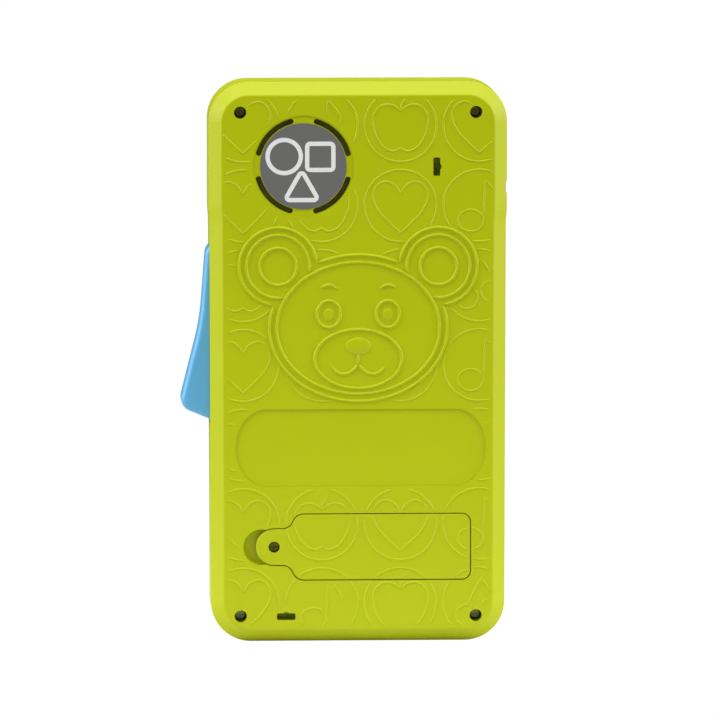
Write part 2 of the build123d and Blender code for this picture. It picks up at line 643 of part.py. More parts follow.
def side_lever():
    """Hollow blue lever: a skin, a hub at the top, a stop lip at the foot, a spring pad and a finger."""
    profile = lever_profile()
    wing = slab(profile, -LEVER_HALF_DEPTH, LEVER_HALF_DEPTH)
    rims = back_rim(wing) + front_rim(wing)
    outer_rims = [edge for edge in rims if edge.center().X < LEVER_INNER_X - 0.5]
    wing = fillet(outer_rims, LEVER_EDGE_ROUNDING)
    inside = offset(profile, -LEVER_SKIN)
    inside = inside + Pos(2.5, 0) * inside
    wing -= slab(inside, LEVER_SKIN - LEVER_HALF_DEPTH, LEVER_HALF_DEPTH - LEVER_SKIN)
    under_skin = slab(offset(profile, -0.6), 1 - LEVER_HALF_DEPTH, LEVER_HALF_DEPTH - 1)
    wing += rod_across(SPRING_Y, SPRING_Z, LEVER_PAD_RADIUS, -62, SPRING_PAD_X) & under_skin
    finger_z = (SWITCH_Z - FINGER_HALF_HEIGHT, SWITCH_Z + FINGER_HALF_HEIGHT)
    wing += block((-64, -49), FINGER_Y, finger_z) & under_skin
    wing += block((-50, LEVER_PIVOT_X), FINGER_Y, finger_z)
    wing += block((-52.5, LEVER_PIVOT_X), (-LEVER_HALF_DEPTH, LEVER_HALF_DEPTH), (135, 139))
    wing += rod(LEVER_PIVOT_X, LEVER_PIVOT_Z, HUB_RADIUS, -LEVER_HALF_DEPTH, LEVER_HALF_DEPTH)
    wing += block((-50.1, LEVER_INNER_X), (-7.5, 7.5), (75.2, 80))
    bore_half = LEVER_HALF_DEPTH + 1
    return wing - rod(LEVER_PIVOT_X, LEVER_PIVOT_Z, PIN_RADIUS + 0.06, -bore_half, bore_half)


def coil_across(y, z, radius, wire, low_x, high_x, turns):
    """A compression spring whose axis runs across the width."""
    length = high_x - low_x - 2 * wire
    path = Helix(length / turns, length, radius, center=(low_x + wire, y, z), direction=(1, 0, 0))
    section = Plane(origin=path @ 0, z_dir=path % 0) * Circle(wire)
    return sweep(section, path=path, is_frenet=True)


def lever_switch():
    """Small push switch on the back of the board, with its plunger towards the lever."""
    body = block((-36.8, -31.0), (-2.6, BOARD_BACK_Y), (SWITCH_Z - 3, SWITCH_Z + 3))
    return body + rod_across(0.5, SWITCH_Z, 1.0, -38.4, -36.8)


def power_knob():
    """Ribbed slider cap, its stem through the slot and its foot behind the wall."""
    side_x = HEAD_WIDTH / 2
    y = POWER_KNOB_Y
    top_x = side_x - POWER_KNOB_SINK
    cap = block((side_x - 1.1, top_x), (y - 2.4, y + 2.4), (POWER_Z - 1.85, POWER_Z + 1.85))
    for step in (-1, 0, 1):
        groove_y = y + 1.4 * step
        cap -= block((top_x - 0.3, top_x), (groove_y - 0.3, groove_y + 0.3), (POWER_Z - 2, POWER_Z + 2))
    stem = block((side_x - 2.6, side_x - 1.0), (y - 1.3, y + 1.3), (POWER_Z - 1.2, POWER_Z + 1.2))
    foot = block((side_x - 3.9, side_x - 2.6), (y - 1.3, y + 3.0), (POWER_Z - 2.6, POWER_Z + 2.6))
    return cap + stem + foot


def power_switch_body():
    """Slide switch body between its two ribs, with three solder legs."""
    body = block((42.0, 49.0), (-11.0, -0.6), (POWER_Z - 4.5, POWER_Z + 4.5))
    for step in (-1, 0, 1):
        leg_y = -6.0 + 3 * step
        body += block((39.5, 42.0), (leg_y - 0.4, leg_y + 0.4), (POWER_Z - 0.6, POWER_Z + 0.6))
    return body


def battery_door():
    """Flush door with two hinge tongues at its right edge and a screw boss under its tab."""
    door = slab(DOOR, BACK_Y, DOOR_INNER_Y)
    door = chamfer(back_rim(door), 0.2)
    door += rod(TAB_X, DOOR_MIDDLE, TAB_BOSS_RADIUS, DOOR_INNER_Y, TAB_BOSS_Y)
    for z in TONGUE_ZS:
        z_range = (z - TONGUE_WIDTH / 2, z + TONGUE_WIDTH / 2)
        tongue_y = (TONGUE_BACK_Y, TONGUE_BACK_Y + TONGUE_THICKNESS)
        door += block((TONGUE_LEFT, DOOR_RIGHT - 0.2), (DOOR_INNER_Y, tongue_y[1]), z_range)
        door += block((TONGUE_LEFT, TONGUE_RIGHT), tongue_y, z_range)
    door -= rod(TAB_X, DOOR_MIDDLE, TAB_SCREW_HOLE_RADIUS, BACK_Y, TAB_SCREW_SEAT_Y)
    return door - rod(TAB_X, DOOR_MIDDLE, TAB_SCREW_RADIUS + 0.08, TAB_SCREW_SEAT_Y, TAB_BOSS_Y)


def door_screw_clip():
    """Washer that keeps the door's screw from falling out."""
    return slab(Pos(TAB_X, DOOR_MIDDLE) * (Circle(CLIP_RADIUS) - Circle(TAB_SCREW_RADIUS)), *CLIP_Y)


def battery_cell(z, nub_right):
    """An AAA cell along the width, with its raised end to one side."""
    inner_left = BAY_LEFT + PLATE_THICKNESS
    inner_right = BAY_RIGHT - PLATE_THICKNESS
    low = inner_right - CELL_LENGTH if nub_right else inner_left
    high = low + CELL_LENGTH
    body_low, body_high = (low, high - 1) if nub_right else (low + 1, high)
    body = fillet(rod_across(CELL_Y, z, CELL_RADIUS, body_low, body_high).edges(), 0.4)
    nub_low, nub_high = (body_high, high) if nub_right else (low, body_low)
    return body + rod_across(CELL_Y, z, 1.9, nub_low, nub_high)


def contact_plates():
    """Two plates at the left end of the bay and a bridge across both cells at the right end."""
    y_range = (-10.2, BAY_FLOOR_Y)
    left = (BAY_LEFT, BAY_LEFT + PLATE_THICKNESS)
    right = (BAY_RIGHT - PLATE_THICKNESS, BAY_RIGHT)
    plates = [block(left, y_range, (z - 4.2, z + 4.2)) for z in CELL_ZS]
    plates.append(block(right, y_range, (CELL_ZS[0] - 4.2, CELL_ZS[1] + 4.2)))
    return plates


def contact_springs():
    """A spring at the flat end of each cell."""
    inner_left = BAY_LEFT + PLATE_THICKNESS
    inner_right = BAY_RIGHT - PLATE_THICKNESS
    gap = inner_right - inner_left - CELL_LENGTH
    left = coil_across(CELL_Y, CELL_ZS[0], 2.8, 0.3, inner_left, inner_left + gap, 4)
    right = coil_across(CELL_Y, CELL_ZS[1], 2.8, 0.3, inner_right - gap, inner_right, 4)
    return [left, right]


def wire(bend, *points):
    """An insulated lead along straight runs with round bends."""
    path = FilletPolyline(*points, radius=bend)
    section = Plane(origin=path @ 0, z_dir=path % 0) * Circle(WIRE_RADIUS)
    return sweep(section, path=path)


def battery_wires():
    """One lead from each left-hand plate to the board."""
    wires = []
    for z in CELL_ZS:
        start = (BAY_LEFT, BATTERY_WIRE_Y, z)
        rise = [(-20, BATTERY_WIRE_Y, z), (-20, 1, z + 12), (-20, BOARD_BACK_Y, z + 12)]
        wires.append(wire(WIRE_BEND, start, *rise))
    return wires


def speaker_wires():
    """Two leads from the basket, over the clamp ring, to the board."""
    wires = []
    for x in (SPEAKER_X - 1.5, SPEAKER_X + 1.5):
        rise = [(x, -8.4, 157.7), (x, -1.5, 157.7), (x, -1.5, 148), (x, BOARD_BACK_Y, 148)]
        wires.append(wire(WIRE_BEND, *rise))
    return wires


def power_wires():
    """Two leads from the switch's legs to the board."""
    wires = []
    for leg_y, z in ((-6.0, 166.0), (-3.0, 158.0)):
        start = (39.5, leg_y, POWER_Z)
        rise = [(35, leg_y, POWER_Z), (35, leg_y, z), (35, BOARD_BACK_Y, z)]
        wires.append(wire(POWER_WIRE_BEND, start, *rise))
    return wires


def write_case():
    save("back_shell", back_shell())
    save("front_shell", front_shell())
    sizes = (SCREW_SEAT_Y, SCREW_TIP_Y, SCREW_HEAD_RADIUS, SCREW_SHANK_RADIUS, SCREW_HEAD_HEIGHT)
    save("case_screws", *[pan_head_screw(x, z, *sizes) for x, z in SCREW_PLACES])
    badge = rod(SPEAKER_X, SPEAKER_Z, BADGE_RADIUS, BACK_Y + 0.1, BACK_Y + POCKET_DEPTH)
    save("badge_disc", badge)


def write_front():
    save("face_plate", face_plate())
    lens = screen_pane(LENS_BORDER - FIT, PANEL_FRONT_Y - 1, PANEL_FRONT_Y)
    save("screen_lens", fillet(front_rim(lens), 0.3))
    save("screen_card", screen_pane(LENS_BORDER, PANEL_BACK_Y - 0.4, PANEL_BACK_Y))
    save("light_diffuser", screen_pane(LENS_BORDER, PANEL_BACK_Y - 1.6, PANEL_BACK_Y - 0.4))
    for number, (x, z) in enumerate(KEY_PLACES, start=1):
        save(f"app_key_{number}", app_key(x, z))
    save("home_key", home_key())
    save("key_membrane", key_membrane())


def write_electronics():
    save("main_board", main_board())
    head = (BOARD_SCREW_HEAD_RADIUS, BOARD_SCREW_RADIUS, BOARD_SCREW_HEAD_HEIGHT)
    save("board_screws", *[pan_head_screw(x, z, BOARD_BACK_Y, SCREW_TIP_Y, *head) for x, z in POST_PLACES])
    save("main_chip", block((-8, 8), (BOARD_BACK_Y - 1.4, BOARD_BACK_Y), CHIP_Z))
    save("board_parts", *board_parts())
    led_y = (BOARD_FRONT_Y, BOARD_FRONT_Y + 1.7)
    led_z = (SCREEN_Z - 2.5, SCREEN_Z + 2.5)
    save("screen_leds", *[block((x - 2.5, x + 2.5), led_y, led_z) for x in (-20, 0, 20)])
    save("power_switch_body", power_switch_body())
    save("power_knob", power_knob())
    save("power_wires", *power_wires())


def write_speaker():
    save("sound_felt", rod(SPEAKER_X, SPEAKER_Z, 18.5, BACK_INSIDE, -12.5))
    save("speaker_frame", speaker_frame())
    save("speaker_cone", speaker_cone())
    save("speaker_magnet", speaker_magnet())
    save("speaker_clamp", speaker_clamp())
    ears = [SPEAKER_X - EAR_REACH, SPEAKER_X + EAR_REACH]
    save("speaker_screws", *[clamp_screw(x) for x in ears])
    save("speaker_wires", *speaker_wires())


def write_lever():
    save("side_lever", side_lever())
    save("lever_pin", rod(LEVER_PIVOT_X, LEVER_PIVOT_Z, PIN_RADIUS, -PIN_HALF_LENGTH, PIN_HALF_LENGTH))
    spring_x = (SPRING_OUTER_X, SPRING_SEAT_X)
    spring = coil_across(SPRING_Y, SPRING_Z, SPRING_RADIUS, SPRING_WIRE, *spring_x, SPRING_TURNS)
    save("lever_spring", spring)
    save("lever_switch", lever_switch())


def write_battery():
    save("battery_door", battery_door())
    sizes = (TAB_SCREW_HEAD_RADIUS, TAB_SCREW_RADIUS, TAB_SCREW_HEAD_HEIGHT)
    screw = pan_head_screw(TAB_X, DOOR_MIDDLE, TAB_SCREW_SEAT_Y, TAB_SCREW_TIP_Y, *sizes)
    save("door_screw", screw)
    save("door_screw_clip", door_screw_clip())
    save("battery_cells", battery_cell(CELL_ZS[0], True), battery_cell(CELL_ZS[1], False))
    save("contact_plates", *contact_plates())
    save("contact_springs", *contact_springs())
    save("battery_wires", *battery_wires())


os.makedirs("parts", exist_ok=True)
write_case()
write_front()
write_electronics()
write_speaker()
write_lever()
write_battery()
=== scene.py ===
"""Looks of a phone-shaped toy tablet: materials, embossed relief, badge print, key numbers and the studio."""

import json
import math

import bmesh
import bpy
from mathutils import Matrix, Vector


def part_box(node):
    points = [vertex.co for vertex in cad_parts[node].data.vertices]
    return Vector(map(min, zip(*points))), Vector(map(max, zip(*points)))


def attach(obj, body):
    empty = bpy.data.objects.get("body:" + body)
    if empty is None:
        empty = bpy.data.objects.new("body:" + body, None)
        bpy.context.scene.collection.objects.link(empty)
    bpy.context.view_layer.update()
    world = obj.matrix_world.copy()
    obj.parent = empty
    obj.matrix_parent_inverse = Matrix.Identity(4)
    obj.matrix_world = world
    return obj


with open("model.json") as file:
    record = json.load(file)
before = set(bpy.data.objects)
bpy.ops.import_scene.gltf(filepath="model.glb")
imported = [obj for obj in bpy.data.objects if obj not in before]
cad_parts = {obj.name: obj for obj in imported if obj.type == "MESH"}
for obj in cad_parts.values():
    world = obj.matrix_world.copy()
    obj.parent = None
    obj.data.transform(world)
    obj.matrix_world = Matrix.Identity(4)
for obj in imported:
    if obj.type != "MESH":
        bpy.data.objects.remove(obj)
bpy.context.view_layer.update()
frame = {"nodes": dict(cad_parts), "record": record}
nodes = frame["nodes"]

MM = 0.001

# Places taken from the frame
SHELL_LOW, SHELL_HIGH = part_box("back_shell")
BADGE_LOW, BADGE_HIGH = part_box("badge_disc")
DOOR_LOW, DOOR_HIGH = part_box("battery_door")
DOOR_SCREW_LOW, DOOR_SCREW_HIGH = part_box("door_screw")
CARD_LOW, CARD_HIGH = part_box("screen_card")
BACK_Y = SHELL_LOW[1]
TOP_Z = SHELL_HIGH[2]
BADGE_X = (BADGE_LOW[0] + BADGE_HIGH[0]) / 2
BADGE_Z = (BADGE_LOW[2] + BADGE_HIGH[2]) / 2
DOOR_Z = (DOOR_LOW[2] + DOOR_HIGH[2]) / 2
TAB_X = (DOOR_SCREW_LOW[0] + DOOR_SCREW_HIGH[0]) / 2

# Relief lines
RIDGE_WIDTH = 0.9 * MM
RIDGE_HEIGHT = 0.22 * MM
BEAR_RIDGE_WIDTH = 1.3 * MM
BEAR_RIDGE_HEIGHT = 0.6 * MM
RIDGE_ROOT = 0.25 * MM
RIDGE_FADE_STEPS = 3
OUTLINE_STEP = 0.6 * MM
CURVE_STEPS = 6


# ---------------------------------------------------------------- materials


def linear(red, green, blue):
    """A colour given in display values from 0 to 255, as linear light."""
    channels = []
    for value in (red, green, blue):
        share = value / 255
        channels.append(share / 12.92 if share <= 0.04045 else ((share + 0.055) / 1.055) ** 2.4)
    return (*channels, 1.0)


def shade(colour, factor):
    """The same colour, lighter or darker."""
    return (*[min(1.0, channel * factor) for channel in colour[:3]], 1.0)


def new_material(name):
    material = bpy.data.materials.new(name)
    material.use_nodes = True
    tree = material.node_tree
    return material, tree, tree.nodes["Principled BSDF"]


def object_noise(tree, scale, detail=3.0):
    """Noise fixed to the object, from 0 to 1."""
    coordinates = tree.nodes.new("ShaderNodeTexCoord")
    noise = tree.nodes.new("ShaderNodeTexNoise")
    noise.inputs["Scale"].default_value = scale
    noise.inputs["Detail"].default_value = detail
    tree.links.new(coordinates.outputs["Object"], noise.inputs["Vector"])
    return noise.outputs["Fac"]


def add_bump(tree, shader, height, strength, distance):
    bump = tree.nodes.new("ShaderNodeBump")
    bump.inputs["Strength"].default_value = strength
    bump.inputs["Distance"].default_value = distance
    tree.links.new(height, bump.inputs["Height"])
    tree.links.new(bump.outputs["Normal"], shader.inputs["Normal"])


def add_mottle(tree, shader, colour, scale, amount):
    """Slight unevenness of the colour."""
    mix = tree.nodes.new("ShaderNodeMix")
    mix.data_type = "RGBA"
    mix.inputs["A"].default_value = shade(colour, 1 - amount)
    mix.inputs["B"].default_value = shade(colour, 1 + amount)
    tree.links.new(object_noise(tree, scale), mix.inputs["Factor"])
    tree.links.new(mix.outputs["Result"], shader.inputs["Base Color"])


def add_roughness(tree, shader, middle, spread, scale):
    """Handling and moulding make the gloss slightly uneven."""
    span = tree.nodes.new("ShaderNodeMapRange")
    span.inputs["To Min"].default_value = middle - spread
    span.inputs["To Max"].default_value = middle + spread
    tree.links.new(object_noise(tree, scale, detail=4.0), span.inputs["Value"])
    tree.links.new(span.outputs["Result"], shader.inputs["Roughness"])


def plastic(name, colour, roughness, grain=0.15, grain_scale=2600, coat=0.0, subsurface=0.0, specular=0.5):
    """Moulded plastic: fine surface grain, faint mottling and uneven gloss."""
    material, tree, shader = new_material(name)
    shader.inputs["Specular IOR Level"].default_value = specular
    add_mottle(tree, shader, colour, scale=34, amount=0.025)
    add_roughness(tree, shader, roughness, spread=0.035, scale=120)
    add_bump(tree, shader, object_noise(tree, grain_scale), strength=grain, distance=0.03 * MM)
    shader.inputs["Coat Weight"].default_value = coat
    shader.inputs["Coat Roughness"].default_value = 0.12
    shader.inputs["Subsurface Weight"].default_value = subsurface
    shader.inputs["Subsurface Radius"].default_value = (0.4, 0.3, 0.2)
    shader.inputs["Subsurface Scale"].default_value = 0.002
    return material


def metal(name, colour, roughness=0.3, stretch=(1, 1, 1)):
    """Metal with fine marks left by its making."""
    material, tree, shader = new_material(name)
    shader.inputs["Metallic"].default_value = 1.0
    add_mottle(tree, shader, colour, scale=400, amount=0.06)
    coordinates = tree.nodes.new("ShaderNodeTexCoord")
    mapping = tree.nodes.new("ShaderNodeMapping")
    mapping.inputs["Scale"].default_value = stretch
    noise = tree.nodes.new("ShaderNodeTexNoise")
    noise.inputs["Scale"].default_value = 900
    tree.links.new(coordinates.outputs["Object"], mapping.inputs["Vector"])
    tree.links.new(mapping.outputs["Vector"], noise.inputs["Vector"])
    add_bump(tree, shader, noise.outputs["Fac"], strength=0.3, distance=0.05 * MM)
    shader.inputs["Roughness"].default_value = roughness
    return material


def felt(name, colour):
    """Matt fibrous sheet, for cloth and for paper pulp."""
    material, tree, shader = new_material(name)
    add_mottle(tree, shader, colour, scale=900, amount=0.3)
    add_bump(tree, shader, object_noise(tree, 3500, detail=5.0), strength=0.8, distance=0.2 * MM)
    shader.inputs["Roughness"].default_value = 0.95
    shader.inputs["Sheen Weight"].default_value = 0.3
    return material


def clear_plastic(name, colour):
    """Thin clear plastic that lets the picture behind it show."""
    material, tree, shader = new_material(name)
    shader.inputs["Base Color"].default_value = colour
    shader.inputs["Transmission Weight"].default_value = 1.0
    shader.inputs["Alpha"].default_value = 0.3
    shader.inputs["IOR"].default_value = 1.49
    add_roughness(tree, shader, 0.04, spread=0.015, scale=60)
    return material


def circuit_board(name, colour):
    """Green solder mask with faint copper tracks under it."""
    material, tree, shader = new_material(name)
    coordinates = tree.nodes.new("ShaderNodeTexCoord")
    brick = tree.nodes.new("ShaderNodeTexBrick")
    brick.inputs["Scale"].default_value = 160
    brick.inputs["Color1"].default_value = colour
    brick.inputs["Color2"].default_value = shade(colour, 0.9)
    brick.inputs["Mortar"].default_value = shade(colour, 1.6)
    brick.inputs["Mortar Size"].default_value = 0.03
    turn = tree.nodes.new("ShaderNodeMapping")
    turn.inputs["Rotation"].default_value = (math.radians(90), 0, 0)
    tree.links.new(coordinates.outputs["Object"], turn.inputs["Vector"])
    tree.links.new(turn.outputs["Vector"], brick.inputs["Vector"])
    tree.links.new(brick.outputs["Color"], shader.inputs["Base Color"])
    add_bump(tree, shader, brick.outputs["Fac"], strength=0.3, distance=0.04 * MM)
    shader.inputs["Roughness"].default_value = 0.3
    return material


LIME = linear(198, 209, 3)
BLUE = linear(110, 194, 246)
KEY_COLOURS = {
    "key_red": linear(222, 52, 48),
    "key_orange": linear(242, 130, 30),
    "key_yellow": linear(248, 204, 40),
    "key_green": linear(66, 172, 76),
    "key_teal": linear(34, 168, 164),
    "key_blue": linear(48, 120, 208),
    "key_purple": linear(132, 84, 186),
    "key_pink": linear(234, 98, 154),
    "key_lime": linear(158, 194, 38),
}

MATERIALS = {
    "lime_shell": plastic("lime_shell", LIME, roughness=0.34, grain=0.1, specular=0.35),
    "grey_badge": plastic("grey_badge", linear(114, 114, 113), roughness=0.55, grain=0.3, grain_scale=5000),
    # The case screws' yellow tint is painted reflected light from the lime walls of their deep wells, and
    # their light colour is painted light that offsets the shade down there.
    "screw_steel": metal("screw_steel", linear(176, 174, 120), 0.45),
    # The door screw's olive tint is painted reflected light from the lime walls of its deep well, and its
    # light colour is painted light that offsets the shade there.
    "screw_dark": metal("screw_dark", linear(126, 126, 50), 0.5),
    "clip_nylon": plastic("clip_nylon", linear(222, 219, 206), roughness=0.45),
    "white_panel": plastic("white_panel", linear(238, 240, 238), roughness=0.22, coat=0.3),
    "clear_lens": clear_plastic("clear_lens", linear(246, 250, 252)),
    "screen_card": plastic("screen_card", linear(140, 216, 246), roughness=0.6, grain=0.4, grain_scale=1500),
    "diffuser_white": plastic("diffuser_white", linear(240, 240, 236), roughness=0.5),
    "home_key_blue": plastic("home_key_blue", BLUE, roughness=0.25, coat=0.2),
    "silicone_grey": plastic("silicone_grey", linear(150, 152, 155), roughness=0.6),
    "board_green": circuit_board("board_green", linear(22, 92, 50)),
    "chip_black": plastic("chip_black", linear(26, 26, 28), roughness=0.5),
    "component_grey": plastic("component_grey", linear(70, 72, 78), roughness=0.4),
    "led_white": plastic("led_white", linear(248, 244, 216), roughness=0.2),
    "switch_black": plastic("switch_black", linear(30, 30, 32), roughness=0.42),
    # The knob's deeper lime is painted shade: it stands for the shadow in the recess that holds it.
    "knob_lime": plastic("knob_lime", linear(150, 160, 16), roughness=0.4),
    "wire_red": plastic("wire_red", linear(196, 34, 30), roughness=0.35),
    # This black felt's olive-yellow tint is painted reflected light from the lime case around it.
    "felt_black": felt("felt_black", linear(92, 90, 24)),
    "speaker_steel": metal("speaker_steel", linear(70, 70, 72), 0.4),
    "speaker_paper": felt("speaker_paper", linear(40, 38, 36)),
    "magnet_dark": metal("magnet_dark", linear(58, 57, 56), 0.5),
    "clamp_black": plastic("clamp_black", linear(38, 38, 40), roughness=0.45),
    "lever_blue": plastic("lever_blue", BLUE, roughness=0.3, grain=0.08, coat=0.15, subsurface=0.15),
    "pin_steel": metal("pin_steel", linear(178, 178, 180), 0.22, (1, 12, 1)),
    "spring_steel": metal("spring_steel", linear(158, 160, 164), 0.28),
    "cell_jacket": plastic("cell_jacket", linear(44, 48, 58), roughness=0.25, coat=0.3),
    "contact_nickel": metal("contact_nickel", linear(196, 194, 186), 0.25),
}
for key_slot, key_colour in KEY_COLOURS.items():
    MATERIALS[key_slot] = plastic(key_slot, key_colour, roughness=0.24, coat=0.2)

PRINT_WHITE = plastic("print_white", linear(255, 255, 252), roughness=0.5, grain=0.2, grain_scale=4000)
NUMBER_WHITE = plastic("number_white", linear(248, 248, 246), roughness=0.3)
SCREEN_GREEN = plastic("screen_green", linear(96, 182, 74), roughness=0.55)
SCREEN_YELLOW = plastic("screen_yellow", linear(250, 206, 48), roughness=0.55)
SCREEN_RED = plastic("screen_red", linear(226, 74, 62), roughness=0.55)


def dress_nodes():
    """Give every CAD node the material of its slot."""
    for entry in frame["record"]["subparts"]:
        for slot in nodes[entry["node"]].material_slots:
            slot.material = MATERIALS[entry["material_slot"]]


# ---------------------------------------------------------------- mesh helpers


def add_piece(name, mesh, material, body):
    """Put a mesh in the scene as a piece that rides on a body."""
    piece = bpy.data.objects.new(name, mesh)
    bpy.context.scene.collection.objects.link(piece)
    mesh.materials.clear()
    mesh.materials.append(material)
    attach(piece, body)
    return piece


def finished_mesh(name, mesh, smooth=False):
    """Turn a mesh under construction into mesh data, with its normals facing out."""
    bmesh.ops.recalc_face_normals(mesh, faces=mesh.faces)
    data = bpy.data.meshes.new(name)
    mesh.to_mesh(data)
    mesh.free()
    for polygon in data.polygons:
        polygon.use_smooth = smooth
    return data


def join_rings(mesh, first, second):
    """A band of faces between two closed rings of points."""
    count = len(first)
    for i in range(count):
        k = (i + 1) % count
        mesh.faces.new((first[i], first[k], second[k], second[i]))


def ridge_profile(width, height):
    """Cross-section of a raised line: a low bell whose foot is sunk into the surface."""
    half = width / 2
    return [
        (-half, -RIDGE_ROOT),
        (-half, 0.0),
        (-half * 0.55, height * 0.55),
        (-half * 0.22, height * 0.93),
        (half * 0.22, height * 0.93),
        (half * 0.55, height * 0.55),
        (half, 0.0),
        (half, -RIDGE_ROOT),
    ]


def ridge_directions(points, closed):
    """The direction of the line at each of its points."""
    count = len(points)
    directions = []
    for i in range(count):
        before = points[(i - 1) % count] if closed or i else points[0]
        after = points[(i + 1) % count] if closed or i < count - 1 else points[-1]
        directions.append((after - before).normalized())
    return directions


def add_ridge(mesh, points, closed, width, height):
    """Sweep a raised line along (x, z) points on the back face. Open ends taper off."""
    if len(points) < 4:
        return
    rings = []
    for i, (point, along) in enumerate(zip(points, ridge_directions(points, closed))):
        side = Vector((-along.y, along.x))
        end_distance = RIDGE_FADE_STEPS if closed else min(i, len(points) - 1 - i)
        strength = 0.3 + 0.7 * min(1.0, end_distance / RIDGE_FADE_STEPS)
        ring = []
        for across, up in ridge_profile(width * strength, height * strength):
            place = point + side * across
            ring.append(mesh.verts.new((place.x, BACK_Y - up, place.y)))
        rings.append(ring)
    for first, second in zip(rings, rings[1:]):
        join_rings(mesh, first, second)
    if closed:
        join_rings(mesh, rings[-1], rings[0])
    else:
        mesh.faces.new(rings[0])
        mesh.faces.new(list(reversed(rings[-1])))


def finish_relief(name, mesh, body):
    """Add raised shapes that are moulded in one with the case or the door."""
    add_piece(name, finished_mesh(name, mesh, smooth=True), MATERIALS["lime_shell"], body)


# ---------------------------------------------------------------- outlines


def ellipse(x, z, radius_x, radius_z):
    """Points along an ellipse in (x, z), evenly close together."""
    count = int(2 * math.pi * max(radius_x, radius_z) / OUTLINE_STEP)
    points = []
    for i in range(count):
        angle = 2 * math.pi * i / count
        points.append(Vector((x + radius_x * math.cos(angle), z + radius_z * math.sin(angle))))
    return points


def smooth_path(corners):
    """A Catmull-Rom curve through a few points."""
    places = [Vector(corner) for corner in corners]
    points = []
    for i in range(len(places) - 1):
        before, first = places[max(i - 1, 0)], places[i]
        second, after = places[i + 1], places[min(i + 2, len(places) - 1)]
        slope = second - before
        bend = 2 * before - 5 * first + 4 * second - after
        twist = 3 * first - before - 3 * second + after
        for j in range(CURVE_STEPS):
            t = j / CURVE_STEPS
            points.append(0.5 * (2 * first + slope * t + bend * t * t + twist * t * t * t))
    points.append(places[-1])
    return points


# ---------------------------------------------------------------- teddy bear face

# An ellipse is centre x, centre z, half width, half height. An eye's own row starts at its centre z, and a
# dome's row ends with its height. Paths are (x, z) points in millimetres, drawn for one side and mirrored.
BEAR_HEAD = (0.0, 112.5 * MM, 29.0 * MM, 23.5 * MM)
BEAR_EARS = [(side * 28.5 * MM, 134.5 * MM, 11.2 * MM, 11.2 * MM) for side in (-1, 1)]
BEAR_BORDER = 2.6 * MM
BEAR_INNER_EAR = 4.6 * MM
EAR_TO_HEAD_GAP = 0.4 * MM
INNER_EAR_TO_HEAD_GAP = 1.5 * MM
BEAR_CLEARANCE = BEAR_BORDER + 0.5 * MM
BEAR_MUZZLE = (0.0, 101.5 * MM, 15.5 * MM, 10.5 * MM)
BEAR_LIP = [(0, 103.5), (0, 99.5)]
BEAR_SMILE = [(0, 99.5), (3, 96.7), (6.5, 96.2), (9.3, 98.5)]
BEAR_BROW = [(7.5, 126.5), (10.5, 128), (13.5, 126.8)]
BEAR_EYE_X = 10.5 * MM
BEAR_EYE_RING = (117.5 * MM, 4.2 * MM, 4.8 * MM)
BEAR_PUPIL = (117.2 * MM, 1.9 * MM, 2.3 * MM, 0.45 * MM)
BEAR_NOSE = (0.0, 106.0 * MM, 4.6 * MM, 3.2 * MM, 0.6 * MM)


def grown(shape, amount):
    """An ellipse made larger by the same amount all round."""
    x, z, radius_x, radius_z = shape
    return (x, z, radius_x + amount, radius_z + amount)


def inside(point, shape):
    """True for a point inside an ellipse."""
    x, z, radius_x, radius_z = shape
    return ((point.x - x) / radius_x) ** 2 + ((point.y - z) / radius_z) ** 2 < 1


def open_runs(points, keep):
    """Stretches of a line whose points are kept, each with whether it is the whole line."""
    flags = [keep(point) for point in points]
    if all(flags):
        return [(points, True)]
    start = flags.index(False)
    ordered = points[start:] + points[:start]
    runs, current = [], []
    for point in ordered:
        if keep(point):
            current.append(point)
        elif current:
            runs.append((current, False))
            current = []
    if current:
        runs.append((current, False))
    return runs


def bear_outline(amount):
    """Outer line of the head and ears together, moved out by an amount."""
    shapes = [grown(shape, amount) for shape in [BEAR_HEAD] + BEAR_EARS]
    runs = []
    for shape in shapes:
        others = [other for other in shapes if other is not shape]
        runs += open_runs(ellipse(*shape), lambda point: not any(inside(point, other) for other in others))
    return runs


def mirrored_path(points, side):
    """A smooth path on one side of the face, from its points in millimetres."""
    return smooth_path([(side * x * MM, z * MM) for x, z in points])


def bear_face():
    """The bear's raised lines: outline, ears, muzzle, mouth, brows and eyes."""
    mesh = bmesh.new()
    lines = bear_outline(BEAR_BORDER)
    lines.append((ellipse(*BEAR_HEAD), True))
    for ear in BEAR_EARS:
        near_head = grown(BEAR_HEAD, EAR_TO_HEAD_GAP)
        lines += open_runs(ellipse(*ear), lambda point: not inside(point, near_head))
        inner_ear = ellipse(*grown(ear, -BEAR_INNER_EAR))
        around_head = grown(BEAR_HEAD, INNER_EAR_TO_HEAD_GAP)
        lines += open_runs(inner_ear, lambda point: not inside(point, around_head))
    lines.append((ellipse(*BEAR_MUZZLE), True))
    lines.append((mirrored_path(BEAR_LIP, 1), False))
    for side in (-1, 1):
        lines.append((mirrored_path(BEAR_SMILE, side), False))
        lines.append((mirrored_path(BEAR_BROW, side), False))
        lines.append((ellipse(side * BEAR_EYE_X, *BEAR_EYE_RING), True))
    for points, closed in lines:
        add_ridge(mesh, points, closed, BEAR_RIDGE_WIDTH, BEAR_RIDGE_HEIGHT)
    finish_relief("bear_lines", mesh, "case")


def ring_of_points(mesh, x, y, z, radius_x, radius_z, count):
    """Points of an ellipse that lies parallel to the back face."""
    ring = []
    for i in range(count):
        turn = 2 * math.pi * i / count
        ring.append(mesh.verts.new((x + radius_x * math.cos(turn), y, z + radius_z * math.sin(turn))))
    return ring


